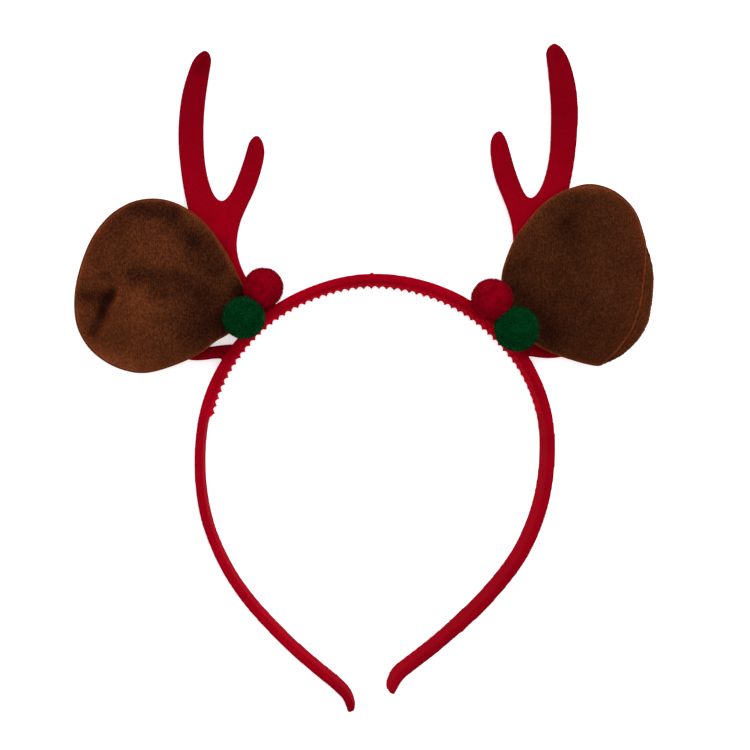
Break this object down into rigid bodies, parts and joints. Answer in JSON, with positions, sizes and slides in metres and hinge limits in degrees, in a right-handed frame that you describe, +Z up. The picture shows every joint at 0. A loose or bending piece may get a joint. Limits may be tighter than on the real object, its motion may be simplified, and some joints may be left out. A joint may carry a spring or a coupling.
{
  "type": "reindeer antler headband",
  "caption": "Costume headband: flocked open hoop with comb teeth and branching antlers, padded plush ears and pompoms at their roots, lying on its back.",
  "frame": {"origin": "centre of the bounding box in plan, on the surface that the headband lies on", "axes": "+Y runs from the hoop's tips towards the antler tips, +X to the ear at the right of the picture, +Z up out of the surface, the way the front of the headband faces"},
  "size_m": [0.203, 0.2354, 0.0246],
  "materials": {
    "flock": "red nylon flocking on moulded plastic, matt and velvety",
    "velour": "brown velour plush, short brushed pile",
    "pompom_red": "dense red acrylic pompom pile, matt",
    "pompom_green": "dense dark green acrylic pompom pile, matt"
  },
  "bodies": {
    "root": {"band_with_antlers": "flock", "ear_left": "velour", "ear_right": "velour", "pompom_red_left": "pompom_red", "pompom_red_right": "pompom_red", "pompom_green_left": "pompom_green", "pompom_green_right": "pompom_green"}
  },
  "joints": []
}
